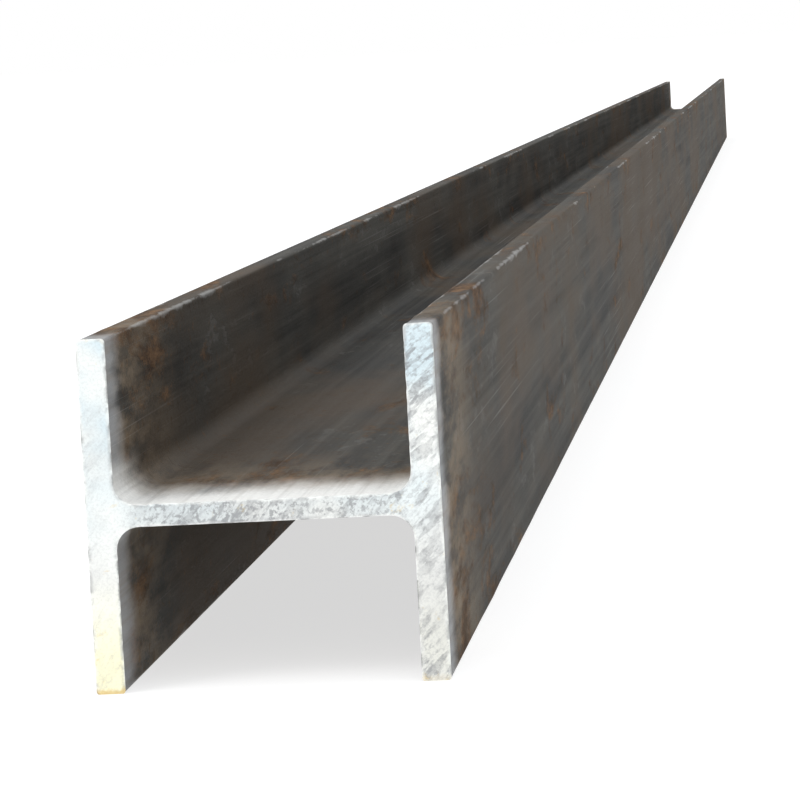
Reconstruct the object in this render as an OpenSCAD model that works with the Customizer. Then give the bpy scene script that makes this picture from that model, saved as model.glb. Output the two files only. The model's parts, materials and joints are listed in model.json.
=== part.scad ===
// Hot-rolled wide-flange steel H-beam, one solid, lying on the toes of its flanges.
// X runs across the section from flange to flange, Y along the beam and Z up.
// The origin is at the middle of the length and of the section, on the floor.

/* [Section] */

// Depth of the section, over the outer faces of the two flanges
section_depth = 100; // [90:1:150]

// Width of each flange, from toe to toe
flange_width = 100; // [80:1:150]

// Thickness of each flange
flange_thickness = 8; // [5:0.5:12]

// Thickness of the web
web_thickness = 6; // [4:0.5:10]

// Radius of the fillets between the web and the flanges
root_radius = 6.5; // [4:0.5:12]

// Radius of the rolled edges along the flange toes
toe_radius = 1; // [0.5:0.1:2]

/* [Length] */

// Length of the beam between its two sawn ends
beam_length = 6000; // [1000:100:12000]

/* [Hidden] */

// Clear distance between the inner faces of the flanges
channel_width = section_depth - 2 * flange_thickness;

// Height of each rolled channel, from the web to well past the toes
channel_height = flange_width;

// Metal beside the web that the channels are cut from, a little taller than the fillets
root_blank = root_radius + 1;

$fn = 96;

// Rectangle about the origin with four true-arc corners
module rounded_rectangle(width, height, radius) {
    square([width - 2 * radius, height], center = true);
    square([width, height - 2 * radius], center = true);
    for (x = [-1, 1], y = [-1, 1])
        translate([x * (width / 2 - radius), y * (height / 2 - radius)])
            circle(r = radius);
}

// Both flanges, upright, each with four rolled toe edges
module flanges() {
    for (side = [-1, 1])
        translate([side * (section_depth - flange_thickness) / 2, 0])
            rounded_rectangle(flange_thickness, flange_width, toe_radius);
}

// Block between the flanges that holds the web and its fillets
module web_blank() {
    square([section_depth - flange_thickness, web_thickness + 2 * root_blank], center = true);
}

// The two channels that leave the web between them, with the root fillets in their corners
module channels() {
    for (side = [-1, 1])
        translate([0, side * (web_thickness + channel_height) / 2])
            rounded_rectangle(channel_width, channel_height, root_radius);
}

// Cross-section of the beam, its centre at the origin
module section() {
    difference() {
        union() {
            flanges();
            web_blank();
        }
        channels();
    }
}

// The beam, square cut at both ends
module h_beam() {
    color("dimgray")
        translate([0, beam_length / 2, flange_width / 2])
            rotate([90, 0, 0])
                linear_extrude(height = beam_length)
                    section();
}

h_beam();
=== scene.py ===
"""A hot-rolled steel H-beam in mill scale, with bright saw-cut ends, lying on a pale studio floor."""

import json
import math

import bmesh
import bpy
from bpy.props import FloatProperty, FloatVectorProperty, IntProperty, PointerProperty
from mathutils import Euler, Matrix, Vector


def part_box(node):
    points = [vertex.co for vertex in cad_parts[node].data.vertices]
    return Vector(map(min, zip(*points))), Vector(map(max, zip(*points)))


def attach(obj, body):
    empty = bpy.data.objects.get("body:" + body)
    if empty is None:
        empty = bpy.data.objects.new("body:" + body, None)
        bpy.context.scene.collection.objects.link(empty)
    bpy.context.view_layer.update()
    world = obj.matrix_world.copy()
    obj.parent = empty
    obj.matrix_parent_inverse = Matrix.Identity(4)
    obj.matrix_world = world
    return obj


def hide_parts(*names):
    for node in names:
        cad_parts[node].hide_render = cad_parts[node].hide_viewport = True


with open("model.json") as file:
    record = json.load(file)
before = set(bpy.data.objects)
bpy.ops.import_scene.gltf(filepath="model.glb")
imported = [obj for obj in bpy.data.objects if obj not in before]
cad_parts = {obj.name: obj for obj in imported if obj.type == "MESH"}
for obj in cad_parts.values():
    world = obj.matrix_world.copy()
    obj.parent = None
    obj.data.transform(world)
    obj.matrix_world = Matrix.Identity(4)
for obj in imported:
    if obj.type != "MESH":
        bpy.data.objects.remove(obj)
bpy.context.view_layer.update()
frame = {"record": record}

bl_info = {
    "name": "Steel H-Beam",
    "version": (1, 0, 0),
    "blender": (4, 5, 0),
    "location": "3D View > Sidebar > H-Beam",
    "description": "Builds a hot-rolled steel H-beam with saw-cut ends, and a plain studio around it",
    "category": "Add Mesh",
}

MILLIMETRE = 0.001
BEAM = "h_beam"
LOW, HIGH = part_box(BEAM)
MOUNTS = {mount["name"]: Vector(mount["pos_m"]) for mount in frame["record"]["mounts"]}

# Cells of the cross-section: across and up each half of a flange, and along the web with its fillets
FLANGE_COLUMNS = 16
ROOT_ROWS = 11
FLAT_ROWS = 38
TOE_ROWS = 4
WEB_COLUMNS = 84
# Rings of faces from the middle of the beam to each end, and how strongly they crowd towards the end
RINGS = 44
CROWDING = 2.5
# Vertices that are closer than this are merged, and edges that bend by more than this stay sharp
MERGE_DISTANCE = 0.02 * MILLIMETRE
SHARP_BEND = math.radians(50)

# The map that baked textures use: the side of each end's square, the gap beside it and around each strip,
# and how strongly the strips along the beam favour its ends
END_SQUARE = 0.33
MAP_GAP = 0.006
STRIP_GAP = 0.03
STRIPS = 6
END_FAVOUR = 0.6

# Wear of the mesh, as noise: features per metre, octaves and roughness. Masks end with the values that
# become 0 and 1, and ridges count their features by the saw marks.
RIDGES = (0.45, 3.0, 0.6)
CRUMBLED_EDGE = (260.0, 3.0, 0.6)
RAGGED_BURR = (420.0, 2.0, 0.7, 0.5, 0.72)
DENTS = (48.0, 2.0, 0.5, 0.60, 0.72)
# How far from an end the dents thin out and stop, and the waves of the faces per metre
DENTED_END = (0.3, 0.7)
WAVES_ACROSS = 14.0
WAVES_ALONG = 2.5
# The saw leaves the metal to the right and downwards, and its burr stands on the edges that face there
SAW_EXIT_RIGHT = 0.6
SAW_EXIT_DOWN = 0.8
SAW_EXIT_SPREAD = (0.2, 0.6)

# Patterns of the rolled faces, as noise: features per metre, octaves and roughness. Masks end with the
# values that become 0 and 1.
CLOUDS = (24.0, 6.0, 0.62, 0.36, 0.68)
SCRATCHED_STRETCHES = (9.0, 3.0, 0.6, 0.45, 0.60)
BROWN_STRETCHES = (10.0, 4.0, 0.6, 0.44, 0.62)
RUBBED_STRETCHES = (14.0, 3.0, 0.6, 0.42, 0.62)
FLAKES = (150.0, 7.0, 0.7)
RAGGEDNESS = (60.0, 4.0, 0.62)
RUST_BLOOMS = 46.0
RUST_SPOTS = 260.0
SCALE_PITS = 900.0
ARRIS_BREAKS = 120.0
SCALE_GRAIN = {"Grain Scale": 900.0, "Detail": 4.0, "Roughness": 0.75}
# Lines drawn along the beam: how many per metre across and along it, and their roughness
FINE_LINES = {"Across": 320.0, "Along": 3.0, "Roughness": 0.6}
ROLL_LINES = {"Across": 90.0, "Along": 0.7, "Roughness": 0.7}
SCRATCHES = {"Across": 1100.0, "Along": 2.4, "Roughness": 0.5}
# Values of a pattern between which a speck, a flake, a scratch or the mottling sets in
SPECKS = (0.42, 0.68)
FLAKE_EDGE = (0.55, 0.59)
FLAKY_CLOUDS = (0.3, 0.9)
SCRATCH_PEAKS = (0.88, 1.0)
MOTTLING = (0.34, 0.62)
# Where they change, as distances from the nearest toe, from the nearest end and above the middle
RUSTY_TOE = (0.0, 0.016)
RUSTY_END = (0.02, 0.40)
# The painted highlight on the web's top, together with its rubbed metal, fades over these distances.
BRIGHTEST_AT_END = (0.0, 0.050)
SCUFF_AND_HIGHLIGHT_FULL = 0.010
SCUFF_AND_HIGHLIGHT_WEB = (0.034, 0.042)
UPPER_SIDE = (0.0, 0.002)

# Patterns of the sawn ends, in the same way. Their lines are counted in the pitches and runs of the marks.
PATCHES = (24.0, 3.0, 0.55, 0.40, 0.60)
DEEP_CUTS = (40.0, 3.0, 0.6, 0.38, 0.62)
OXIDE_FILM = (28.0, 3.0, 0.5)
TORN_METAL = (620.0, 3.0, 0.65)
# Patches of the painted shade of the burr along the rim
RIM_SHADE_PATCHES = (130.0, 5.0, 0.65, 0.46, 0.60)
FOOT_BREAKS = (340.0, 5.0, 0.65)
FIRST_RUST = 150.0
CUT_PITS = 1400.0
RIM_BREAKS = 160.0
CUT_GRAIN = {"Grain Scale": 1300.0, "Detail": 3.0, "Roughness": 0.6}
COARSE_CUTS = {"Across": 0.8, "Along": 1.0, "Roughness": 0.5}
FINE_CUTS = {"Across": 2.2, "Along": 2.6, "Roughness": 0.62}
# Shifts that keep patterns of a like scale from lying alike
FILM_SHIFT = (3.0, 0.0, 5.0)
DEEP_CUTS_SHIFT = (7.0, 0.0, 2.0)
RIM_SHADE_SHIFT = (0.0, 4.0, 9.0)
# Values of a pattern between which a film or a mark sets in
BLUE_FILM = (0.38, 0.58)
STRAW_FILM = (0.48, 0.66)
COARSE_TROUGHS = (0.28, 0.46)
FINE_TROUGHS = (0.22, 0.46)
TEARS = (0.40, 0.50)
CUT_CRYSTALS = (0.35, 0.70)
# Where they change: up the section, as shares of its height from its lower toes
BLUE_HEIGHTS = (0.25, 0.8)
STRAW_HEIGHTS = (0.05, 0.36)
DULL_HEIGHTS = (0.15, 0.50)
# The foot line: ochre rust to the left, and a painted shade along the whole bottom edge
FOOT_HEIGHTS = (0.004, 0.022)
FOOT_RAGGEDNESS = 0.04
# towards both toes, as shares of its height from its middle
TOE_HEIGHTS = (0.475, 0.5)
# and in metres: rightwards from its middle, off the web's middle, inwards from the edges, rightwards from
# the left flange's inner face, and along the web from both flanges
STRAW_ACROSS = (-0.02, 0.03)
DULL_ACROSS = (0.0, 0.03)
WEB_HALF_HEIGHTS = (0.0025, 0.006)
# Painted shade: how far in from the edges the burr's shadow is painted
SHADED_RIM = (0.0002, 0.0012)
LEFT_FLANGE_FADE = 0.008
WEB_FADE = 0.009

# How fully each layer of a finish covers what is under it
COVER = {
    "scratches": 0.8,
    "brown film": 0.7,
    "tan band and painted light": 0.9,
    "rust": 0.8,
    "tinted and reflecting strip": 0.85,
    "bare steel": 0.75,
    "blue film": 0.8,
    "straw film": 0.9,
    "saw marks": 0.8,
    "rust specks": 0.7,
    "bright rim": 0.7,
    # painted shadow of the burr along the rim
    "painted rim shade": 0.45,
}

# Light of the studio sky at the horizon and overhead, and the colours of the softboxes
HORIZON_LIGHT = (0.56, 0.56, 0.565)
OVERHEAD_LIGHT = (1.48, 1.50, 1.52)
WARM_WHITE = (1.0, 0.98, 0.95)
COOL_WHITE = (0.92, 0.97, 1.0)


# Sizes and finishes -----------------------------


def length_property(name, description, default):
    return FloatProperty(
        name=name, description=description, default=default, min=0.0, unit="LENGTH", precision=5
    )


def share_property(name, description, default):
    return FloatProperty(
        name=name, description=description, default=default, min=0.0, max=1.0, subtype="FACTOR"
    )


def colour_property(name, description, default):
    return FloatVectorProperty(
        name=name, description=description, default=default, size=3, min=0.0, max=1.0, subtype="COLOR"
    )


class BeamShape(bpy.types.PropertyGroup):
    section_depth: length_property(
        "Section Depth", "Over the outer faces of the flanges", round(HIGH.x - LOW.x, 6)
    )
    flange_width: length_property("Flange Width", "From toe to toe", round(HIGH.z - LOW.z, 6))
    beam_length: length_property("Length", "Between the two sawn ends", round(HIGH.y - LOW.y, 6))
    flange_thickness: length_property(
        "Flange Thickness",
        "Twice the distance from the toe's middle to the outer face",
        round(2 * (HIGH.x - MOUNTS["toe_rest_right"].x), 6),
    )
    web_thickness: length_property(
        "Web Thickness",
        "Between the web's two faces",
        round(MOUNTS["web_face_upper"].z - MOUNTS["web_face_lower"].z, 6),
    )
    root_radius: length_property("Root Radius", "Fillets between web and flanges", 6.5 * MILLIMETRE)
    toe_radius: length_property("Toe Radius", "Rolled edges of the flange toes", 1 * MILLIMETRE)
    saw_relief: length_property("Saw Relief", "Depth of the ridges across the ends", 0.12 * MILLIMETRE)
    broken_edge: length_property("Broken Edge", "How far the sawn edges are worn back", 0.35 * MILLIMETRE)
    burr: length_property("Burr", "How far the saw's burr stands out", 0.45 * MILLIMETRE)
    nick_depth: length_property("Nick Depth", "Handling dents in the toes near the ends", 0.35 * MILLIMETRE)
    waviness: length_property("Waviness", "Unevenness of the rolled faces", 0.12 * MILLIMETRE)
    seed: IntProperty(name="Seed", description="Chooses the pattern of burrs, nicks and waves", default=7)


class SawMarks(bpy.types.PropertyGroup):
    blade_x: length_property("Blade Offset", "Blade centre to the side of the section", 0.27)
    blade_drop: length_property("Blade Drop", "Blade centre below the section's middle", 0.24)
    pitch: length_property("Pitch", "Distance between the coarser marks", 2.4 * MILLIMETRE)
    run: length_property("Run", "How far one mark runs on before it fades", 12 * MILLIMETRE)


class RolledFinish(bpy.types.PropertyGroup):
    scale_dark: colour_property("Dark Scale", "Unbroken mill scale", (0.016, 0.016, 0.016))
    scale_light: colour_property("Light Scale", "Dusty and thin mill scale", (0.098, 0.094, 0.083))
    rust_dark: colour_property("Dark Rust", "Old rust in the scale", (0.052, 0.029, 0.017))
    rust_light: colour_property("Light Rust", "Fresh rust", (0.210, 0.120, 0.062))
    brown_film: colour_property(
        "Brown Film", "Thin rust that tints whole stretches", (0.078, 0.058, 0.041)
    )
    bare_steel: colour_property("Bare Steel", "Metal where the scale is rubbed off", (0.34, 0.34, 0.33))
    # The web's bright band is partly rubbed metal and partly a painted highlight, standing for light and
    # grazing reflection at the open end.
    scuffed_and_highlit_steel: colour_property(
        "Scuffed And Highlit Steel", "Web rubbed bright just inside the cut", (0.84, 0.84, 0.82)
    )
    # The bluish strip beside the cut is partly a painted reflection of light along the faces at the open
    # end, and partly a tint of the cut.
    tinted_and_reflecting_strip: colour_property(
        "Cut Strip", "Bluish strip right beside the saw cut", (0.330, 0.345, 0.360)
    )
    flake: colour_property(
        "Flaked Scale", "Paler steel where scale has flaked off", (0.125, 0.122, 0.116)
    )
    # The heated band is brown tint and painted light: it is lighter near each end, as light reaching into
    # the channel from the open end.
    mouth_tan_and_light: colour_property("Heated And Lit Band", "Brown band beside the strip", (0.215, 0.166, 0.116))
    rust_share: share_property("Rust", "Share of the faces that has rusted", 0.36)
    stretch: share_property(
        "Stretch", "Length of blooms and clouds across the beam, as a share of that along it", 0.25
    )
    strip_width: length_property("Strip Width", "Bluish strip beside the cut", 22 * MILLIMETRE)
    # How far that painted highlight and rubbed metal reach in from an end.
    scuff_and_highlight_reach: length_property(
        "Scuff And Highlight Reach", "How far the web is rubbed bright from an end", 60 * MILLIMETRE
    )
    # The band's reach is also how far that painted light reaches in from an end.
    band_reach: length_property(
        "Band Reach", "How far the brown band runs in from an end", 160 * MILLIMETRE
    )
    arris_wear: length_property(
        "Arris Wear", "How far the toes' edges are rubbed bare at most", 1.8 * MILLIMETRE
    )
    cut_wear: length_property("Cut Wear", "How far the metal is bare beside a cut", 1.2 * MILLIMETRE)
    scale_relief: length_property("Scale Relief", "Height of scale, rust and pits", 0.20 * MILLIMETRE)


class SawnFinish(bpy.types.PropertyGroup):
    bright: colour_property("Bright Steel", "Freshly cut metal", (0.88, 0.89, 0.86))
    neutral: colour_property("Grey Steel", "Duller metal", (0.75, 0.755, 0.735))
    cool: colour_property("Blue Tint", "Bluish film, mostly on the upper half", (0.60, 0.73, 0.79))
    warm: colour_property("Straw Tint", "Yellowish film, mostly low on the left", (0.95, 0.92, 0.67))
    shade: colour_property("Saw Shade", "Bottom of the saw marks", (0.26, 0.265, 0.275))
    speck: colour_property("Rust Specks", "First rust on the cut", (0.70, 0.50, 0.16))
    # Partly painted highlight: the brighter rim stands for light caught by the burr, and partly for rubbed
    # metal.
    rim_wear_and_highlight: length_property("Rim Wear And Highlight", "Width of the brighter rim along the edges", 1 * MILLIMETRE)
    cut_relief: length_property("Cut Relief", "Height of the saw's finest marks", 0.10 * MILLIMETRE)


class Studio(bpy.types.PropertyGroup):
    camera_right: length_property("Camera Right", "From the beam's middle plane", 0.150)
    camera_height: length_property("Camera Height", "Above the floor", 0.175)
    camera_distance: length_property("Camera Distance", "In front of the near end", 1.15)
    aim_right: length_property("Aim Right", "Where the camera looks, in the plane of the near end", 0.040)
    aim_height: length_property("Aim Height", "Where the camera looks, above the floor", 0.079)
    view_width: length_property("View Width", "Width seen in the plane of the near end", 0.222)
    roll: FloatProperty(
        name="Roll", description="Turn about the line of sight", default=math.radians(3.2), subtype="ANGLE"
    )
    floor_colour: colour_property("Floor", "Pale floor", (0.42, 0.42, 0.42))
    floor_glow: share_property("Floor Glow", "Light from the floor itself, as from a light table", 0.66)
    floor_radius: length_property("Floor Radius", "Far past every view", 400.0)


# Node trees -------------------------------------

FLOAT = "NodeSocketFloat"
VECTOR = "NodeSocketVector"


class Field:
    """An output socket that adds Math nodes to its tree as arithmetic is done on it."""

    def __init__(self, nodes, socket):
        self.nodes = nodes
        self.socket = socket

    def __add__(self, other):
        return self.nodes.math("ADD", self, other)

    def __sub__(self, other):
        return self.nodes.math("SUBTRACT", self, other)

    def __rsub__(self, other):
        return self.nodes.math("SUBTRACT", other, self)

    def __mul__(self, other):
        return self.nodes.math("MULTIPLY", self, other)

    def __truediv__(self, other):
        return self.nodes.math("DIVIDE", self, other)

    def __pow__(self, other):
        return self.nodes.math("POWER", self, other)

    def __abs__(self):
        return self.nodes.math("ABSOLUTE", self)

    __radd__ = __add__
    __rmul__ = __mul__

    def sign(self):
        return self.nodes.math("SIGN", self)

    def sine(self):
        return self.nodes.math("SINE", self)

    def cosine(self):
        return self.nodes.math("COSINE", self)

    def at_least(self, other):
        return self.nodes.math("MAXIMUM", self, other)

    def at_most(self, other):
        return self.nodes.math("MINIMUM", self, other)

    def above(self, other):
        """1 where this is greater, and 0 elsewhere."""
        return self.nodes.math("GREATER_THAN", self, other)

    def rise(self, low, high):
        """0 up to low, 1 from high, and a smooth step between."""
        return self.nodes.step(self, low, high, 0.0, 1.0)

    def fall(self, low, high):
        """1 up to low, 0 from high, and a smooth step between."""
        return self.nodes.step(self, low, high, 1.0, 0.0)


class Nodes:
    """Adds linked nodes to one tree. A value is a Field, or a constant for the socket it goes to."""

    def __init__(self, tree):
        self.tree = tree

    def add(self, kind, values=None, **settings):
        """A node with its settings and the values of its inputs, by name or number."""
        node = self.tree.nodes.new(kind)
        for name, value in settings.items():
            setattr(node, name, value)
        for name, value in (values or {}).items():
            self.feed(node.inputs[name], value)
        return node

    def feed(self, socket, value):
        if isinstance(value, Field):
            self.tree.links.new(value.socket, socket)
        else:
            socket.default_value = value

    def out(self, node, output=0):
        return Field(self, node.outputs[output])

    def math(self, operation, *values):
        return self.out(self.add("ShaderNodeMath", dict(enumerate(values)), operation=operation))

    def step(self, value, low, high, at_low, at_high):
        ends = {"Value": value, "From Min": low, "From Max": high, "To Min": at_low, "To Max": at_high}
        return self.out(self.add("ShaderNodeMapRange", ends, interpolation_type="SMOOTHSTEP"))

    def vector(self, x, y, z):
        return self.out(self.add("ShaderNodeCombineXYZ", {0: x, 1: y, 2: z}))

    def parts(self, vector):
        """A vector's X, Y and Z."""
        node = self.add("ShaderNodeSeparateXYZ", {0: vector})
        return [self.out(node, axis) for axis in range(3)]

    def length(self, vector):
        return self.out(self.add("ShaderNodeVectorMath", {0: vector}, operation="LENGTH"), "Value")

    def scaled(self, vector, factor):
        return self.out(self.add("ShaderNodeVectorMath", {0: vector, "Scale": factor}, operation="SCALE"))

    def sum(self, first, second):
        """Two vectors added."""
        return self.out(self.add("ShaderNodeVectorMath", {0: first, 1: second}, operation="ADD"))

    def noise(self, vector, scale, detail=2.0, roughness=0.5, distortion=0.0):
        """Fractal noise from 0 to 1, about one feature to 1/scale metres."""
        values = {"Vector": vector, "Scale": scale, "Detail": detail}
        values |= {"Roughness": roughness, "Distortion": distortion}
        return self.out(self.add("ShaderNodeTexNoise", values))

    def patches(self, vector, scale, detail, roughness, low, high):
        """Noise as a mask: 0 up to low and 1 from high."""
        return self.noise(vector, scale, detail, roughness).rise(low, high)

    def blend(self, share, base, over):
        """base, with this share of over mixed in. Both are colours."""
        base, over = (value if isinstance(value, Field) else (*value, 1.0) for value in (base, over))
        node = self.add("ShaderNodeMix", {0: share, 6: base, 7: over}, data_type="RGBA", clamp_factor=True)
        return self.out(node, 2)

    def group(self, tree, values):
        """The outputs, by name, of a node that holds a shared shader group."""
        node = self.tree.nodes.new("ShaderNodeGroup")
        node.node_tree = tree
        for name, value in values.items():
            self.feed(node.inputs[name], value)
        return {output.name: self.out(node, output.name) for output in node.outputs}


def new_tree(name, kind, inputs, outputs):
    """An empty group with these sockets: its Nodes, its inputs by name and its output node."""
    tree = bpy.data.node_groups.new(name, kind)
    for direction, sockets in (("INPUT", inputs), ("OUTPUT", outputs)):
        for socket_name, socket_type in sockets.items():
            tree.interface.new_socket(socket_name, in_out=direction, socket_type=socket_type)
    n = Nodes(tree)
    start = n.add("NodeGroupInput")
    given = {name: n.out(start, name) for name in inputs}
    return n, given, n.add("NodeGroupOutput")


def saw_lines(n, x, z, marks):
    """Coordinates that follow the blade's arcs: across the marks in pitches, and along them in runs."""
    from_blade = n.vector(x - marks.blade_x, 0.0, z + marks.blade_drop)
    radius = n.length(from_blade)
    turn = n.math("ARCTAN2", z + marks.blade_drop, marks.blade_x - x)
    arc = turn * math.hypot(marks.blade_x, marks.blade_drop)
    return n.vector(radius / marks.pitch, arc / marks.run, 0.0)


# The beam's mesh --------------------------------

SIZE_INPUTS = {
    "Section Depth": "section_depth",
    "Flange Width": "flange_width",
    "Length": "beam_length",
    "Flange Thickness": "flange_thickness",
    "Web Thickness": "web_thickness",
    "Root Radius": "root_radius",
    "Toe Radius": "toe_radius",
    "Saw Relief": "saw_relief",
    "Broken Edge": "broken_edge",
    "Burr": "burr",
    "Nick Depth": "nick_depth",
    "Waviness": "waviness",
}
QUARTER_TURN = math.pi / 2


def grid(n, width, height, columns, rows):
    values = {"Size X": width, "Size Y": height, "Vertices X": columns + 1, "Vertices Y": rows + 1}
    return n.out(n.add("GeometryNodeMeshGrid", values))


def placed(n, geometry, position):
    return n.out(n.add("GeometryNodeSetPosition", {"Geometry": geometry, "Position": position}))


def moved(n, geometry, offset):
    return n.out(n.add("GeometryNodeSetPosition", {"Geometry": geometry, "Offset": offset}))


def joined(n, *geometries):
    """The geometries as one, with the vertices that meet merged."""
    join = n.add("GeometryNodeJoinGeometry")
    for geometry in geometries:
        n.feed(join.inputs[0], geometry)
    values = {"Geometry": n.out(join), "Distance": MERGE_DISTANCE}
    return n.out(n.add("GeometryNodeMergeByDistance", values))


def stored(n, geometry, name, value, domain, data_type="FLOAT"):
    values = {"Geometry": geometry, "Name": name, "Value": value}
    return n.out(n.add("GeometryNodeStoreNamedAttribute", values, domain=domain, data_type=data_type))


def on_faces(n, vector):
    """A vector's value on each face, also for what is worked out on its corners."""
    return n.out(n.add("GeometryNodeFieldOnDomain", {0: vector}, domain="FACE", data_type="FLOAT_VECTOR"))


def web_cells(n, size):
    """The web and its four fillets: rows that spread apart as the fillets rise to the flanges."""
    clear = size["Section Depth"] - 2 * size["Flange Thickness"]
    x, row, _ = n.parts(n.out(n.add("GeometryNodeInputPosition")))
    flat = clear / 2 - size["Root Radius"]
    turn = (abs(x) - flat).at_least(0.0) / size["Root Radius"] * QUARTER_TURN
    across = x.sign() * (abs(x).at_most(flat) + size["Root Radius"] * turn.sine())
    half_height = size["Web Thickness"] / 2 + size["Root Radius"] * (1.0 - turn.cosine())
    cells = grid(n, clear, 2.0, WEB_COLUMNS, 2 * ROOT_ROWS)
    return placed(n, cells, n.vector(across, row * half_height, 0.0))


def flange_cells(n, size, side):
    """One flange: rows that match the web's at the root, then even ones, then a quarter turn at a toe."""
    cell, count, _ = n.parts(n.out(n.add("GeometryNodeInputPosition")))
    root = size["Web Thickness"] / 2 + size["Root Radius"]
    flat = size["Flange Width"] / 2 - size["Toe Radius"] - root
    row = abs(count)
    in_flat = (row - ROOT_ROWS).at_least(0.0).at_most(FLAT_ROWS) / FLAT_ROWS
    turn = (row - (ROOT_ROWS + FLAT_ROWS)).at_least(0.0) / TOE_ROWS * QUARTER_TURN
    height = row.at_most(ROOT_ROWS) / ROOT_ROWS * root + in_flat * flat + size["Toe Radius"] * turn.sine()
    half_thickness = size["Flange Thickness"] / 2 - size["Toe Radius"] * (1.0 - turn.cosine())
    middle = (size["Section Depth"] - size["Flange Thickness"]) / 2
    rows = 2 * (ROOT_ROWS + FLAT_ROWS + TOE_ROWS)
    cells = grid(n, 2.0, rows, FLANGE_COLUMNS, rows)
    return placed(n, cells, n.vector(side * middle + cell * half_thickness, count.sign() * height, 0.0))


def section_outline(n, section):
    """The closed curve round the cross-section, through the vertices of its outer cells."""
    faces = n.out(n.add("GeometryNodeInputMeshEdgeNeighbors"))
    rim = n.out(n.add("FunctionNodeCompare", {"A": faces, "B": 1.5}, operation="LESS_THAN"))
    return n.out(n.add("GeometryNodeMeshToCurve", {"Mesh": section, "Selection": rim}))


def sawn_face(n, section, outline):
    """The cross-section as an end face, with each vertex's distance from the outline."""
    wire = n.out(n.add("GeometryNodeCurveToMesh", {"Curve": outline}))
    near = n.add("GeometryNodeProximity", {"Target": wire}, target_element="EDGES")
    face = stored(n, section, "rim_distance", n.out(near, "Distance"), "POINT")
    return stored(n, face, "sawn", 1.0, "FACE")


def at_end(n, face, side, size):
    """The end face stood upright at one end of the beam, facing away from it."""
    values = {
        "Geometry": face,
        "Translation": n.vector(0.0, side * size["Length"] / 2, 0.0),
        "Rotation": Euler((QUARTER_TURN, 0.0, 0.0)),
    }
    upright = n.out(n.add("GeometryNodeTransform", values))
    return upright if side < 0 else n.out(n.add("GeometryNodeFlipFaces", {"Mesh": upright}))


def rolled_faces(n, outline, size):
    """The outline swept along the beam, in rings that crowd towards both ends."""
    line_ends = {"Start": (0.0, -1.0, 0.0), "End": (0.0, 1.0, 0.0)}
    line = n.out(n.add("GeometryNodeCurvePrimitiveLine", line_ends))
    rings = n.out(n.add("GeometryNodeResampleCurve", {"Curve": line, "Count": 2 * RINGS + 1}))
    _, along, _ = n.parts(n.out(n.add("GeometryNodeInputPosition")))
    inwards = (1.0 - abs(along)).at_least(0.0) ** CROWDING
    path = placed(n, rings, n.vector(0.0, along.sign() * (1.0 - inwards) * size["Length"] / 2, 0.0))
    path = n.out(n.add("GeometryNodeSetCurveNormal", {"Curve": path}, mode="Z_UP"))
    return n.out(n.add("GeometryNodeCurveToMesh", {"Curve": path, "Profile Curve": outline}))


def worn(n, beam, size, shape, marks):
    """Saw ridges and burrs at the ends, nicked toes and slightly uneven rolled faces."""
    place = n.out(n.add("GeometryNodeInputPosition"))
    x, y, z = n.parts(place)
    normal = n.out(n.add("GeometryNodeInputNormal"))
    out_x, _, out_z = n.parts(normal)
    sawn = n.out(n.add("GeometryNodeInputNamedAttribute", {"Name": "sawn"}, data_type="FLOAT"), "Attribute")
    rim = 4.0 * sawn * (1.0 - sawn)
    seeded = n.sum(place, (0.0, 0.0, float(shape.seed)))

    ridges = n.noise(saw_lines(n, x, z, marks), *RIDGES) - 0.5
    relief = n.vector(0.0, y.sign() * sawn * ridges * size["Saw Relief"], 0.0)

    crumble = n.noise(seeded, *CRUMBLED_EDGE)
    beam = moved(n, beam, relief)
    broken = n.scaled(normal, -1.0 * rim * crumble * size["Broken Edge"])

    leaving = (out_x * SAW_EXIT_RIGHT - out_z * SAW_EXIT_DOWN).rise(*SAW_EXIT_SPREAD)
    ragged = n.patches(seeded, *RAGGED_BURR)
    at_toe = abs(z).rise(size["Flange Width"] / 2 - 1.2 * size["Toe Radius"], size["Flange Width"] / 2)
    lip = rim * leaving * ragged * (1.0 - at_toe) * size["Burr"]
    burr = n.vector(out_x * lip, 0.0, out_z * lip)

    from_end = size["Length"] / 2 - abs(y)
    dents = n.patches(seeded, *DENTS) * at_toe * from_end.fall(*DENTED_END)
    nicks = n.scaled(normal, -1.0 * dents * size["Nick Depth"])

    stretched = n.vector(x * WAVES_ACROSS, y * WAVES_ALONG, z * WAVES_ACROSS)
    wave = (n.noise(n.sum(stretched, (float(shape.seed), 0.0, 0.0)), 1.0) - 0.5) * (1.0 - sawn)
    uneven = n.scaled(normal, wave * size["Waviness"])
    return moved(n, beam, n.sum(n.sum(broken, burr), n.sum(nicks, uneven)))


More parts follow.
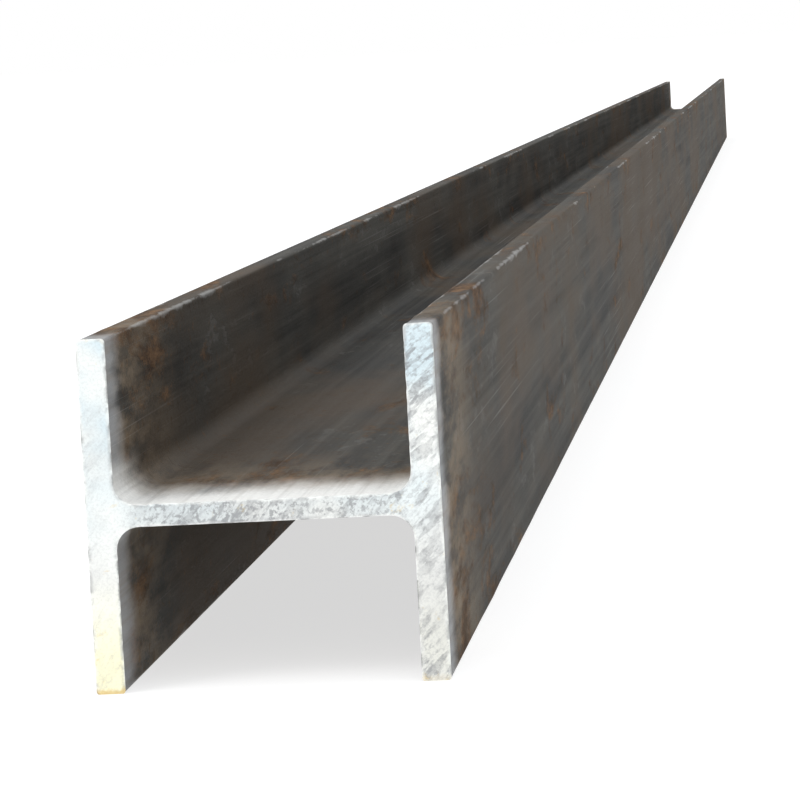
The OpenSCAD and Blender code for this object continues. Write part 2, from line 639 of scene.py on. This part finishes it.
def mapped(n, beam, size):
    """Stores the map for baked textures: the ends as squares above, and the rolled faces as strips."""
    x, y, z = n.parts(n.out(n.add("GeometryNodeInputPosition")))
    normal = on_faces(n, n.out(n.add("GeometryNodeInputNormal")))
    out_x, _, out_z = n.parts(normal)
    middle_x, middle_y, _ = n.parts(on_faces(n, n.out(n.add("GeometryNodeInputPosition"))))
    sawn = n.out(n.add("GeometryNodeInputNamedAttribute", {"Name": "sawn"}, data_type="FLOAT"), "Attribute")
    sawn = sawn.above(0.5)
    across_x = x / size["Section Depth"] + 0.5
    across_z = z / size["Flange Width"] + 0.5
    back = middle_y.above(0.0)

    end_u = MAP_GAP + across_x * END_SQUARE + back * (END_SQUARE + MAP_GAP)
    end_v = 1.0 - MAP_GAP - END_SQUARE + across_z * END_SQUARE

    sideways = abs(out_x).above(abs(out_z))
    inner = 1.0 - (out_x * middle_x).above(0.0)
    side_strip = middle_x.above(0.0) + 2.0 * inner
    level_strip = STRIPS - 1.0 - out_z.above(0.0)
    strip = sideways * side_strip + (1.0 - sideways) * level_strip
    across = sideways * across_z + (1.0 - sideways) * across_x
    strip_u = ((strip + STRIP_GAP + across * (1.0 - 2.0 * STRIP_GAP)) / STRIPS + back) / 2.0
    half = size["Length"] / 2
    inwards = ((half - abs(y)) / half).at_least(0.0).at_most(1.0) ** END_FAVOUR
    strip_v = MAP_GAP + inwards * (1.0 - END_SQUARE - 3.0 * MAP_GAP)

    u = sawn * end_u + (1.0 - sawn) * strip_u
    v = sawn * end_v + (1.0 - sawn) * strip_v
    return stored(n, beam, "OFBake", n.vector(u, v, 0.0), "CORNER", "FLOAT2")


def beam_tree(shape, marks):
    """The Geometry Nodes tree that makes the whole beam from its sizes."""
    inputs = {"Geometry": "NodeSocketGeometry"}
    inputs |= dict.fromkeys(SIZE_INPUTS, FLOAT)
    inputs |= {"Rolled Faces": "NodeSocketMaterial", "Sawn Ends": "NodeSocketMaterial"}
    outputs = {"Geometry": "NodeSocketGeometry"}
    n, size, result = new_tree("Rolled H-Beam", "GeometryNodeTree", inputs, outputs)

    section = joined(n, web_cells(n, size), flange_cells(n, size, -1.0), flange_cells(n, size, 1.0))
    outline = section_outline(n, section)
    face = sawn_face(n, section, outline)
    ends = at_end(n, face, -1.0, size), at_end(n, face, 1.0, size)
    beam = joined(n, rolled_faces(n, outline, size), *ends)
    beam = worn(n, beam, size, shape, marks)
    beam = mapped(n, beam, size)

    stand = n.vector(0.0, 0.0, size["Flange Width"] / 2)
    beam = n.out(n.add("GeometryNodeTransform", {"Geometry": beam, "Translation": stand}))
    beam = n.out(n.add("GeometryNodeSetShadeSmooth", {"Geometry": beam, "Shade Smooth": True}))
    bend = n.out(n.add("GeometryNodeInputMeshEdgeAngle"))
    sharp = {"Geometry": beam, "Selection": bend.above(SHARP_BEND), "Shade Smooth": False}
    beam = n.out(n.add("GeometryNodeSetShadeSmooth", sharp, domain="EDGE"))

    sawn = n.out(n.add("GeometryNodeInputNamedAttribute", {"Name": "sawn"}, data_type="FLOAT"), "Attribute")
    beam = n.out(n.add("GeometryNodeRealizeInstances", {"Geometry": beam}))
    beam = n.out(n.add("GeometryNodeSetMaterial", {"Geometry": beam, "Material": size["Rolled Faces"]}))
    ends = {"Geometry": beam, "Selection": sawn.above(0.5), "Material": size["Sawn Ends"]}
    beam = n.out(n.add("GeometryNodeSetMaterial", ends))
    n.feed(result.inputs[0], beam)
    return n.tree


def plain_mesh(name, tree, values):
    """Runs a Geometry Nodes tree on an empty object, and returns its result as a plain mesh object."""
    maker = bpy.data.objects.new(name + "_maker", bpy.data.meshes.new(name + "_maker"))
    bpy.context.scene.collection.objects.link(maker)
    modifier = maker.modifiers.new("Beam", "NODES")
    modifier.node_group = tree
    for socket in tree.interface.items_tree:
        if socket.name in values:
            modifier[socket.identifier] = values[socket.name]
    evaluated = maker.evaluated_get(bpy.context.evaluated_depsgraph_get())
    mesh = bpy.data.meshes.new_from_object(evaluated)
    maker.modifiers.remove(modifier)
    bpy.data.objects.remove(maker)
    mesh.name = name
    beam = bpy.data.objects.new(name, mesh)
    bpy.context.scene.collection.objects.link(beam)
    return beam


def face_outwards(beam):
    """Turns every face outwards, and stops the script if the mesh isn't closed."""
    solid = bmesh.new()
    solid.from_mesh(beam.data)
    open_edges = sum(not edge.is_manifold for edge in solid.edges)
    if open_edges:
        raise RuntimeError(f"{beam.name} has {open_edges} open edges")
    bmesh.ops.recalc_face_normals(solid, faces=solid.faces)
    solid.to_mesh(beam.data)
    solid.free()


# Finishes ---------------------------------------


def streak_tree():
    """Fine and coarse lines drawn out along Y: the rolling direction, or the direction of a saw cut."""
    inputs = {"Coordinates": VECTOR, "Across": FLOAT, "Along": FLOAT, "Roughness": FLOAT}
    n, given, result = new_tree("Drawn Streaks", "ShaderNodeTree", inputs, {"Streaks": FLOAT})
    x, y, z = n.parts(given["Coordinates"])
    drawn = n.vector(x * given["Across"], y * given["Along"], z * given["Across"])
    streaks = n.noise(drawn, 1.0, 5.0, given["Roughness"])
    n.feed(result.inputs["Streaks"], streaks.rise(0.28, 0.72))
    return n.tree


def grain_tree():
    """The finest unevenness of a steel surface, around one half."""
    inputs = {"Coordinates": VECTOR, "Grain Scale": FLOAT, "Detail": FLOAT, "Roughness": FLOAT}
    n, given, result = new_tree("Steel Grain", "ShaderNodeTree", inputs, {"Grain": FLOAT})
    grain = n.noise(given["Coordinates"], given["Grain Scale"], given["Detail"], given["Roughness"])
    n.feed(result.inputs["Grain"], grain)
    return n.tree


def rust_tree():
    """Blooms of rust with ragged, grainy rims: a mask, and a tone from old to fresh."""
    inputs = {"Coordinates": VECTOR, "Bloom Scale": FLOAT, "Share": FLOAT, "Grain": FLOAT}
    n, given, result = new_tree("Rust Blooms", "ShaderNodeTree", inputs, {"Mask": FLOAT, "Tone": FLOAT})
    contrast, finer = 9.0, 3.7
    grain = given["Grain"] - 0.5
    blooms = n.noise(given["Coordinates"], given["Bloom Scale"], 8.0, 0.68, 0.4) + 0.30 * grain
    bar = 0.80 - 0.45 * given["Share"]
    n.feed(result.inputs["Mask"], ((blooms - bar) * contrast + 0.5).at_least(0.0).at_most(1.0))
    tone = n.noise(given["Coordinates"], given["Bloom Scale"] * finer, 4.0, 0.6)
    n.feed(result.inputs["Tone"], (tone + 0.5 * grain).rise(0.35, 0.7))
    return n.tree


def edge_wear_and_highlight_tree():
    """Rubbed metal beside an edge, or a painted highlight along a rim, broken up along it, from the
    distance to the edge.
    """
    inputs = {"Distance": FLOAT, "Reach": FLOAT, "Coordinates": VECTOR, "Breakup Scale": FLOAT}
    n, given, result = new_tree("Edge Wear And Highlight", "ShaderNodeTree", inputs, {"Mask": FLOAT})
    breakup = n.noise(given["Coordinates"], given["Breakup Scale"], 4.0, 0.65)
    reach = given["Reach"] * breakup.rise(0.3, 0.75) * 1.6
    never_zero = 1e-6
    worn_share = 1.0 - given["Distance"] / (reach + never_zero)
    n.feed(result.inputs["Mask"], worn_share.at_least(0.0).at_most(1.0))
    return n.tree


def pitting_tree():
    """Height of a scaly or sandy surface: broad unevenness with fine pits in it."""
    inputs = {"Coordinates": VECTOR, "Pit Scale": FLOAT}
    n, given, result = new_tree("Pitting", "ShaderNodeTree", inputs, {"Height": FLOAT})
    broader = 0.12
    broad = n.noise(given["Coordinates"], given["Pit Scale"] * broader, 3.0, 0.5)
    fine = n.noise(given["Coordinates"], given["Pit Scale"], 4.0, 0.62)
    n.feed(result.inputs["Height"], 0.5 * broad + 0.5 * fine.rise(0.3, 0.62))
    return n.tree


def new_material(name):
    """A material with a Principled shader: its Nodes and the shader."""
    material = bpy.data.materials.new(name)
    material.use_nodes = True
    material.node_tree.nodes.clear()
    n = Nodes(material.node_tree)
    shader = n.add("ShaderNodeBsdfPrincipled")
    n.add("ShaderNodeOutputMaterial", {"Surface": n.out(shader)})
    return material, n, shader


def roughened(n, shader, relief, depth, strength):
    """Feeds a relief of this depth, from 0 to 1, to the shader's normal."""
    bump = n.add("ShaderNodeBump", {"Height": relief, "Distance": depth, "Strength": strength})
    n.feed(shader.inputs["Normal"], n.out(bump))


class RolledFaces:
    """What the layers of the rolled finish share: where a point lies, and the steel's texture there."""

    def __init__(self, n, look, shape, effects):
        self.n = n
        self.look = look
        self.shape = shape
        self.effects = effects
        self.place = n.out(n.add("ShaderNodeTexCoord"), "Object")
        x, y, z = n.parts(self.place)
        self.height = z - shape.flange_width / 2
        self.from_end = shape.beam_length / 2 - abs(y)
        self.from_toe = shape.flange_width / 2 - abs(self.height)
        self.from_outside = shape.section_depth / 2 - abs(x)
        self.drawn = n.vector(x, y * look.stretch, z)

        self.grain = n.group(effects["grain"], {"Coordinates": self.place} | SCALE_GRAIN)["Grain"]
        self.specks = self.grain.rise(*SPECKS)
        self.clouds = n.patches(self.drawn, *CLOUDS)
        self.uneven = n.noise(self.drawn, *RAGGEDNESS)
        self.streaks = self.lines(FINE_LINES)
        self.brushed = 0.55 + 0.45 * self.streaks.at_most(self.specks + 0.5)
        self.from_ragged_end = self.from_end - (self.uneven - 0.5) * look.strip_width * 1.5

    def lines(self, kind):
        """Streaks of one kind along the beam."""
        return self.n.group(self.effects["streaks"], {"Coordinates": self.place} | kind)["Streaks"]


def mill_scale(faces):
    """Dark scale, paled by dust and rolling lines. Returns also where it is flaked and scratched."""
    n, look = faces.n, faces.look
    roll_lines = faces.lines(ROLL_LINES)
    paled = faces.clouds * 0.40 + faces.streaks * 0.20 + roll_lines * 0.50 + faces.specks * 0.25 - 0.15
    colour = n.blend(paled, look.scale_dark, look.scale_light)
    flakes = (n.noise(faces.drawn, *FLAKES) + 0.10 * (faces.grain - 0.5)).rise(*FLAKE_EDGE)
    flaked = flakes * faces.clouds.rise(*FLAKY_CLOUDS)
    colour = n.blend(flaked * (0.35 + 0.4 * faces.specks), colour, look.flake)
    scratches = faces.lines(SCRATCHES).rise(*SCRATCH_PEAKS)
    scratches = scratches * n.patches(faces.drawn, *SCRATCHED_STRETCHES)
    colour = n.blend(scratches * COVER["scratches"], colour, look.flake)
    return colour, flaked, scratches


def browned(faces, colour):
    """Thin brown films: on whole stretches, and in a mottled band that fades inwards from each end, a brown
    tint that is also painted light reaching in from the open end.
    """
    n, look = faces.n, faces.look
    stretches = n.patches(faces.drawn, *BROWN_STRETCHES)
    colour = n.blend(stretches * COVER["brown film"], colour, look.brown_film)
    mottled = (faces.uneven + 0.35 * (faces.grain - 0.5)).rise(*MOTTLING)
    # Painted light: the band is lighter near each end, where light reaches in from the open end.
    band = faces.from_end.fall(0.0, look.band_reach) * mottled
    return n.blend(band * COVER["tan band and painted light"], colour, look.mouth_tan_and_light)


def rusted(faces, colour):
    """Blooms and spots of rust, more of them near the toes and the ends. Returns also their mask."""
    n, look = faces.n, faces.look
    near_toe = faces.from_toe.fall(*RUSTY_TOE) * 0.08
    near_end = faces.from_end.fall(*RUSTY_END) * 0.12
    share = look.rust_share + near_toe + near_end
    bloom_values = {"Coordinates": faces.drawn, "Bloom Scale": RUST_BLOOMS, "Share": share}
    spot_values = {"Coordinates": faces.place, "Bloom Scale": RUST_SPOTS, "Share": share * 0.8}
    blooms = n.group(faces.effects["rust"], bloom_values | {"Grain": faces.grain})
    spots = n.group(faces.effects["rust"], spot_values | {"Grain": faces.grain})
    rust = blooms["Mask"].at_least(spots["Mask"] * 0.7)
    rust_colour = n.blend(blooms["Tone"], look.rust_dark, look.rust_light)
    return n.blend(rust * COVER["rust"], colour, rust_colour), rust


def cut_beside(faces, colour):
    """The bluish strip beside each cut, partly a painted reflection, and the web's top painted bright there
    as rubbed metal and as a painted highlight. Returns also where it is.
    """
    n, look = faces.n, faces.look
    # Partly painted reflection: the bluish strip beside each cut.
    strip = faces.from_ragged_end.fall(look.strip_width * 0.3, look.strip_width * 1.4) * faces.brushed
    colour = n.blend(strip * COVER["tinted and reflecting strip"], colour, look.tinted_and_reflecting_strip)
    thickness = faces.shape.flange_thickness
    between_flanges = faces.from_outside.rise(thickness / 2, thickness)
    upper_web = between_flanges * faces.height.rise(*UPPER_SIDE) * faces.from_toe.rise(*SCUFF_AND_HIGHLIGHT_WEB)
    # Painted highlight as well as rubbed metal: the web's top is painted nearly white inwards from each
    # cut, brightest right at the end.
    polish_and_highlight = (faces.brushed + 0.22 * faces.from_ragged_end.fall(*BRIGHTEST_AT_END)).at_most(1.0)
    scuff_and_highlight = faces.from_ragged_end.fall(SCUFF_AND_HIGHLIGHT_FULL, look.scuff_and_highlight_reach) * upper_web * polish_and_highlight
    return n.blend(scuff_and_highlight * (0.82 + 0.16 * faces.specks), colour, look.scuffed_and_highlit_steel), scuff_and_highlight


def bared(faces, colour):
    """Bare steel on the arrises of the toes and along the cuts. Returns also its mask."""
    n, look, wear_and_highlight = faces.n, faces.look, faces.effects["wear_and_highlight"]
    from_inside = abs(faces.from_outside - faces.shape.flange_thickness)
    from_arris = n.length(n.vector(faces.from_outside.at_most(from_inside), faces.from_toe, 0.0))
    values = {"Coordinates": faces.drawn, "Breakup Scale": ARRIS_BREAKS}
    toe_reach = look.arris_wear * n.patches(faces.drawn, *RUBBED_STRETCHES)
    toe_wear = n.group(wear_and_highlight, values | {"Distance": from_arris, "Reach": toe_reach})["Mask"]
    cut_wear = n.group(wear_and_highlight, values | {"Distance": faces.from_end, "Reach": look.cut_wear})["Mask"]
    bare = toe_wear.at_least(cut_wear)
    return n.blend(bare * COVER["bare steel"], colour, look.bare_steel), bare


def rolled_material(look, shape, effects):
    """Blue-black mill scale with rolling lines, rust, rubbed toes and paler bands beside each saw cut,
    which are partly painted light and painted highlight.
    """
    material, n, shader = new_material("Mill scale")
    faces = RolledFaces(n, look, shape, effects)
    colour, flaked, scratches = mill_scale(faces)
    colour = browned(faces, colour)
    colour, rust = rusted(faces, colour)
    colour, scuff_and_highlight = cut_beside(faces, colour)
    colour, bare = bared(faces, colour)
    n.feed(shader.inputs["Base Color"], colour)

    roughness = 0.60 + 0.14 * faces.specks + 0.10 * faces.clouds + 0.18 * rust
    roughness = roughness - 0.20 * bare - 0.15 * scratches
    n.feed(shader.inputs["Roughness"], roughness.at_least(0.3).at_most(0.95))
    n.feed(shader.inputs["Metallic"], (bare * 0.8).at_least(scuff_and_highlight * 0.4))
    shader.inputs["Specular IOR Level"].default_value = 0.05

    pits = n.group(effects["pitting"], {"Coordinates": faces.place, "Pit Scale": SCALE_PITS})["Height"]
    relief = pits * 0.6 + faces.streaks * 0.2 + rust * 0.45 - flaked * 0.5
    roughened(n, shader, relief, look.scale_relief, 0.9)
    return material


def filmed(n, look, place, x, up, colour):
    """A bluish film above and a straw one below, mostly to the left. Returns also the straw one's mask."""
    film = n.noise(n.sum(place, FILM_SHIFT), *OXIDE_FILM)
    bluish = film.rise(*BLUE_FILM) * up.rise(*BLUE_HEIGHTS)
    colour = n.blend(bluish * COVER["blue film"], colour, look.cool)
    straw = film.fall(*STRAW_FILM) * up.fall(*STRAW_HEIGHTS) * (x.fall(*STRAW_ACROSS) + 0.2)
    return n.blend(straw * COVER["straw film"], colour, look.warm), straw


def sawn_material(look, shape, marks, effects):
    """Bright cut steel crossed by the blade's arcs, with blue and straw films and a few rust specks, and a
    painted highlight and painted shade along its rim.
    """
    material, n, shader = new_material("Saw-cut steel")
    place = n.out(n.add("ShaderNodeTexCoord"), "Object")
    x, _, z = n.parts(place)
    height = z - shape.flange_width / 2
    up = height / shape.flange_width + 0.5
    inner_face = shape.section_depth / 2 - shape.flange_thickness
    left_flange = x.fall(-inner_face, LEFT_FLANGE_FADE - inner_face)
    web = abs(height).fall(*WEB_HALF_HEIGHTS) * abs(x).fall(inner_face - WEB_FADE, inner_face)

    colour = n.blend(n.patches(place, *PATCHES) + 0.5 * left_flange, look.neutral, look.bright)
    colour, straw = filmed(n, look, place, x, up, colour)

    arcs = saw_lines(n, x, height, marks)
    coarse = n.group(effects["streaks"], {"Coordinates": arcs} | COARSE_CUTS)["Streaks"]
    fine = n.group(effects["streaks"], {"Coordinates": arcs} | FINE_CUTS)["Streaks"]
    hatch = coarse.fall(*COARSE_TROUGHS) * 0.55 + fine.fall(*FINE_TROUGHS) * 0.35
    deep_cuts = n.patches(n.sum(place, DEEP_CUTS_SHIFT), *DEEP_CUTS)
    strength = (deep_cuts * 0.66 + 0.16) * (1.0 - 0.7 * left_flange)
    torn = n.noise(place, *TORN_METAL).fall(*TEARS) * (strength * 0.6 + web * 0.7)
    grain = n.group(effects["grain"], {"Coordinates": place} | CUT_GRAIN)["Grain"].rise(*CUT_CRYSTALS)
    dulled = web * 0.18 + up.fall(*DULL_HEIGHTS) * x.rise(*DULL_ACROSS) * 0.10
    marked = hatch * strength + torn * 0.5 + grain.fall(0.0, 0.5) * 0.12 + dulled
    colour = n.blend(marked.at_most(COVER["saw marks"]), colour, look.shade)

    share = 0.27 + 0.10 * straw + 0.22 * abs(up - 0.5).rise(*TOE_HEIGHTS)
    speck_values = {"Coordinates": place, "Bloom Scale": FIRST_RUST, "Share": share, "Grain": 0.5}
    specks = n.group(effects["rust"], speck_values)["Mask"]
    colour = n.blend(specks * COVER["rust specks"], colour, look.speck)
    rim = n.out(n.add("ShaderNodeAttribute", attribute_name="rim_distance"), "Fac")
    rim_values = {"Distance": rim, "Reach": look.rim_wear_and_highlight}
    rim_values |= {"Coordinates": place, "Breakup Scale": RIM_BREAKS}
    # Painted highlight and rubbed metal: a brighter rim along the edges, as light caught by the burr.
    worn_and_highlit_rim = n.group(effects["wear_and_highlight"], rim_values)["Mask"]
    colour = n.blend(worn_and_highlit_rim * COVER["bright rim"], colour, look.bright)
    # Painted shade: grey patches along the very rim, standing for the shadow of the burr.
    rim_shade = rim.fall(*SHADED_RIM) * n.patches(n.sum(place, RIM_SHADE_SHIFT), *RIM_SHADE_PATCHES)
    colour = n.blend(rim_shade * COVER["painted rim shade"], colour, look.shade)
    # A line along the bottom edge: ochre rust to the left, and along the whole edge a painted shade of that
    # edge.
    ragged_up = up + (n.noise(place, *FOOT_BREAKS) - 0.5) * FOOT_RAGGEDNESS
    rusty_and_shaded_foot = ragged_up.fall(*FOOT_HEIGHTS) * (x.fall(*STRAW_ACROSS) * 0.60 + 0.15)
    colour = n.blend(rusty_and_shaded_foot, colour, look.speck)
    n.feed(shader.inputs["Base Color"], colour)

    n.feed(shader.inputs["Roughness"], 0.36 + 0.14 * hatch + 0.1 * grain + 0.25 * specks)
    shader.inputs["Metallic"].default_value = 0.6
    pits = n.group(effects["pitting"], {"Coordinates": place, "Pit Scale": CUT_PITS})["Height"]
    roughened(n, shader, coarse * 0.5 + fine * 0.35 + pits * 0.2, look.cut_relief, 0.7)
    return material


# Operators --------------------------------------


class MESH_OT_h_beam(bpy.types.Operator):
    """Build the H-beam with its rolled and sawn finishes, in the place of its CAD solid"""

    bl_idname = "mesh.h_beam"
    bl_label = "Build H-Beam"

    def execute(self, context):
        scene = context.scene
        shape, marks = scene.beam_shape, scene.saw_marks
        effects = {
            "streaks": streak_tree(),
            "grain": grain_tree(),
            "rust": rust_tree(),
            "wear_and_highlight": edge_wear_and_highlight_tree(),
            "pitting": pitting_tree(),
        }
        values = {name: getattr(shape, prop) for name, prop in SIZE_INPUTS.items()}
        values["Rolled Faces"] = rolled_material(scene.rolled_finish, shape, effects)
        values["Sawn Ends"] = sawn_material(scene.sawn_finish, shape, marks, effects)
        beam = plain_mesh("steel_h_beam", beam_tree(shape, marks), values)
        face_outwards(beam)
        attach(beam, "root")
        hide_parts(BEAM)
        return {"FINISHED"}


def studio_floor(studio):
    """A wide round floor at the height the beam lies on."""
    disc = bmesh.new()
    bmesh.ops.create_circle(disc, cap_ends=True, radius=studio.floor_radius, segments=96)
    mesh = bpy.data.meshes.new("studio_floor")
    disc.to_mesh(mesh)
    disc.free()
    floor = bpy.data.objects.new("studio_floor", mesh)
    bpy.context.scene.collection.objects.link(floor)
    material, _, shader = new_material("Pale floor")
    shader.inputs["Base Color"].default_value = (*studio.floor_colour, 1.0)
    shader.inputs["Roughness"].default_value = 0.9
    shader.inputs["Specular IOR Level"].default_value = 0.0
    shader.inputs["Emission Color"].default_value = (1.0, 1.0, 1.0, 1.0)
    shader.inputs["Emission Strength"].default_value = studio.floor_glow
    mesh.materials.append(material)


def studio_sky():
    """Soft light from all round, brighter overhead than at the horizon, on a plain white background."""
    world = bpy.data.worlds.new("Studio sky")
    world.use_nodes = True
    world.node_tree.nodes.clear()
    n = Nodes(world.node_tree)
    _, _, up = n.parts(n.out(n.add("ShaderNodeTexCoord"), "Generated"))
    sky = n.blend(up.rise(-0.1, 0.9), HORIZON_LIGHT, OVERHEAD_LIGHT)
    seen = n.out(n.add("ShaderNodeLightPath"), "Is Camera Ray")
    colour = n.blend(seen, sky, (1.0, 1.0, 1.0))
    background = n.add("ShaderNodeBackground", {"Color": colour, "Strength": 1.0})
    n.add("ShaderNodeOutputWorld", {"Surface": n.out(background)})
    bpy.context.scene.world = world


def softbox(name, place, target, size, power, colour):
    """A rectangular soft light, aimed at a target, that the camera doesn't see."""
    light = bpy.data.lights.new(name, "AREA")
    light.shape = "RECTANGLE"
    light.size, light.size_y = size
    light.energy = power
    light.color = colour
    box = bpy.data.objects.new(name, light)
    box.location = place
    box.rotation_euler = (Vector(target) - Vector(place)).to_track_quat("-Z", "Y").to_euler()
    box.visible_camera = False
    bpy.context.scene.collection.objects.link(box)


def studio_camera(studio, near_end):
    """A long lens close to the near end, a little above the beam and to its right."""
    camera = bpy.data.objects.new("camera", bpy.data.cameras.new("camera"))
    bpy.context.scene.collection.objects.link(camera)
    place = Vector((studio.camera_right, near_end - studio.camera_distance, studio.camera_height))
    sight = Vector((studio.aim_right, near_end, studio.aim_height)) - place
    camera.location = place
    camera.rotation_mode = "QUATERNION"
    roll = Euler((0, 0, -studio.roll)).to_quaternion()
    camera.rotation_quaternion = sight.to_track_quat("-Z", "Y") @ roll
    camera.data.sensor_width = 36.0
    camera.data.lens = camera.data.sensor_width * sight.length / studio.view_width
    camera.data.clip_start, camera.data.clip_end = 0.01, 1000.0
    bpy.context.scene.camera = camera


class SCENE_OT_h_beam_studio(bpy.types.Operator):
    """Set up the floor, the soft lights and the camera"""

    bl_idname = "scene.h_beam_studio"
    bl_label = "Build Studio"

    def execute(self, context):
        studio = context.scene.studio
        studio_floor(studio)
        studio_sky()
        near, far = LOW.y, HIGH.y
        near_end = (0.0, near, HIGH.z / 2)
        far_end = (0.0, far, HIGH.z / 2)
        wide, narrow = (2.4, 1.2), (1.2, 0.9)
        softbox("key", (-1.5, near - 1.2, 1.8), near_end, size=narrow, power=18.0, colour=WARM_WHITE)
        softbox("front_fill", (0.9, near - 2.6, 0.9), near_end, size=wide, power=3.0, colour=COOL_WHITE)
        softbox("back_fill", (-0.9, far + 2.6, 0.9), far_end, size=wide, power=8.0, colour=COOL_WHITE)
        studio_camera(studio, near)
        context.scene.view_settings.view_transform = "Standard"
        return {"FINISHED"}


class VIEW3D_PT_h_beam(bpy.types.Panel):
    bl_label = "Steel H-Beam"
    bl_space_type = "VIEW_3D"
    bl_region_type = "UI"
    bl_category = "H-Beam"

    def draw(self, context):
        layout = self.layout
        layout.use_property_split = True
        for title, name in (
            ("Shape", "beam_shape"),
            ("Saw Marks", "saw_marks"),
            ("Rolled Faces", "rolled_finish"),
            ("Sawn Ends", "sawn_finish"),
            ("Studio", "studio"),
        ):
            settings = getattr(context.scene, name)
            box = layout.box()
            box.label(text=title)
            for prop in settings.__annotations__:
                box.prop(settings, prop)
        layout.operator(MESH_OT_h_beam.bl_idname)
        layout.operator(SCENE_OT_h_beam_studio.bl_idname)


SETTINGS = {
    "beam_shape": BeamShape,
    "saw_marks": SawMarks,
    "rolled_finish": RolledFinish,
    "sawn_finish": SawnFinish,
    "studio": Studio,
}
CLASSES = (*SETTINGS.values(), MESH_OT_h_beam, SCENE_OT_h_beam_studio, VIEW3D_PT_h_beam)


def register():
    for cls in CLASSES:
        bpy.utils.register_class(cls)
    for name, group in SETTINGS.items():
        setattr(bpy.types.Scene, name, PointerProperty(type=group))


def unregister():
    for name in SETTINGS:
        delattr(bpy.types.Scene, name)
    for cls in reversed(CLASSES):
        bpy.utils.unregister_class(cls)


def main():
    register()
    bpy.ops.mesh.h_beam()
    bpy.ops.scene.h_beam_studio()


if __name__ == "__main__":
    main()
